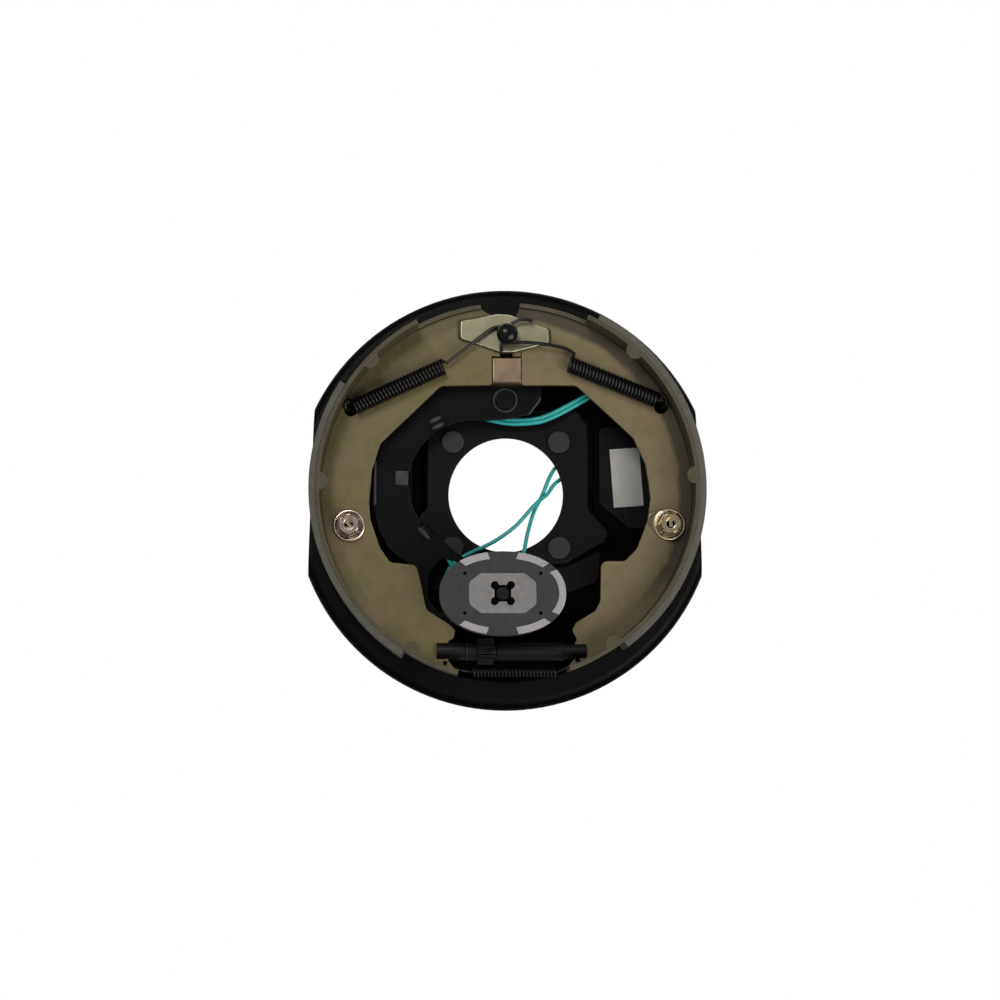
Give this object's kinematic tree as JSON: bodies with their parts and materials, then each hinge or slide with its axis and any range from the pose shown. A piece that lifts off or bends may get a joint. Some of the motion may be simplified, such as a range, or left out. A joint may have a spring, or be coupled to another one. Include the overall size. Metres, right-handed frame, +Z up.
{
  "type": "electric drum brake assembly",
  "caption": "Electric drum brake on a stamped backing plate: two lined shoes, magnet and lever arm, star-wheel adjuster, springs and magnet leads.",
  "frame": {"origin": "centre of the four mounting studs, on the face of the backing plate that meets the axle flange", "axes": "+X to the right seen from the drum side, +Y back along the studs towards the axle flange, +Z up towards the anchor post"},
  "size_m": [0.2592, 0.082, 0.2786],
  "materials": {
    "black_paint": "satin black paint on stamped steel",
    "dark_steel": "phosphated steel",
    "stud_steel": "plain steel",
    "zinc_plate": "zinc plate with yellow passivate",
    "block_plate": "zinc plate with a pink cast",
    "cup_plate": "zinc plate with gold passivate",
    "shoe_paint": "thin olive-tan primer on steel",
    "lining": "moulded friction lining, ground",
    "spring_steel": "black oxide spring wire",
    "magnet_steel": "ground soft iron",
    "magnet_facing": "moulded facing",
    "copper": "enamelled winding",
    "lead": "teal PVC insulation",
    "black_rubber": "moulded rubber",
    "label_paper": "bare white film label"
  },
  "bodies": {
    "backing": {"backing_plate": "black_paint", "mounting_studs": "stud_steel", "anchor_post": "dark_steel", "anchor_plate": "zinc_plate", "label_sticker": "label_paper", "wire_grommet": "black_rubber", "adjuster_plug": "black_rubber", "primary_hold_down_pin": "cup_plate", "primary_hold_down_spring": "cup_plate", "primary_hold_down_cup": "cup_plate", "secondary_hold_down_pin": "cup_plate", "secondary_hold_down_spring": "cup_plate", "secondary_hold_down_cup": "cup_plate", "loose_lead_long": "lead", "loose_lead_short": "lead"},
    "lever": {"lever_arm": "black_paint", "lever_clip": "dark_steel", "cam_block": "block_plate", "magnet_post": "dark_steel", "magnet_clip": "dark_steel", "magnet_lead_inner": "lead", "magnet_lead_outer": "lead", "magnet_spring": "spring_steel"},
    "magnet": {"magnet_case": "magnet_steel", "magnet_core": "magnet_steel", "magnet_coil": "copper", "magnet_facing": "magnet_facing"},
    "secondary_shoe": {"secondary_web": "shoe_paint", "secondary_table": "shoe_paint", "secondary_lining": "lining", "secondary_retractor_spring": "spring_steel", "adjuster_nut": "dark_steel", "adjuster_spring": "spring_steel"},
    "thrust_washer": {"adjuster_washer": "dark_steel"},
    "star_wheel": {"star_wheel_screw": "dark_steel"},
    "socket": {"adjuster_socket": "dark_steel"},
    "primary_shoe": {"primary_web": "shoe_paint", "primary_table": "shoe_paint", "primary_lining": "lining", "primary_retractor_spring": "spring_steel"}
  },
  "joints": [
    {"name": "lever_swing", "type": "hinge", "parent": "backing", "child": "lever", "pos_m": [0, -0.016, 0.101], "axis": [0, 1, 0], "range_deg": [0, 4], "stiffness_Nm_per_rad": 6, "springref_deg": -6.88, "deforming": ["magnet_lead_inner", "magnet_lead_outer"]},
    {"name": "magnet_plunge", "type": "slide", "parent": "lever", "child": "magnet", "axis": [0, 1, 0], "range_m": [0, 0.002], "stiffness_N_per_m": 1500, "springref_m": -0.006, "deforming": ["magnet_spring", "magnet_lead_inner", "magnet_lead_outer"]},
    {"name": "secondary_shoe_swing", "type": "hinge", "parent": "backing", "child": "secondary_shoe", "pos_m": [0, -0.026, 0.101], "axis": [0, -1, 0], "range_deg": [0, 0.5], "deforming": ["secondary_retractor_spring"]},
    {"name": "adjuster_extend", "type": "slide", "parent": "secondary_shoe", "child": "thrust_washer", "axis": [-1, 0, 0], "range_m": [0, 0.0026]},
    {"name": "star_wheel_turn", "type": "hinge", "parent": "thrust_washer", "child": "star_wheel", "pos_m": [-0.015, -0.02625, -0.103], "axis": [1, 0, 0], "range_deg": [0, 720]},
    {"name": "socket_swing", "type": "hinge", "parent": "secondary_shoe", "child": "socket", "pos_m": [0, -0.02625, 0.101], "axis": [0, 1, 0], "range_deg": [0, 0.7], "deforming": ["adjuster_spring"]},
    {"name": "primary_shoe_swing", "type": "hinge", "parent": "socket", "child": "primary_shoe", "pos_m": [-0.041, -0.02625, -0.103], "axis": [0, -1, 0], "range_deg": [0, 0.9], "deforming": ["primary_retractor_spring"]}
  ],
  "couplings": [
    {"joint": "secondary_shoe_swing", "follows": "lever_swing", "ratio": 0.1},
    {"joint": "primary_shoe_swing", "follows": "lever_swing", "ratio": 0.2031},
    {"joint": "adjuster_extend", "follows": "socket_swing", "m_per_rad": 0.204},
    {"joint": "star_wheel_turn", "follows": "socket_swing", "ratio": 1025.4}
  ]
}
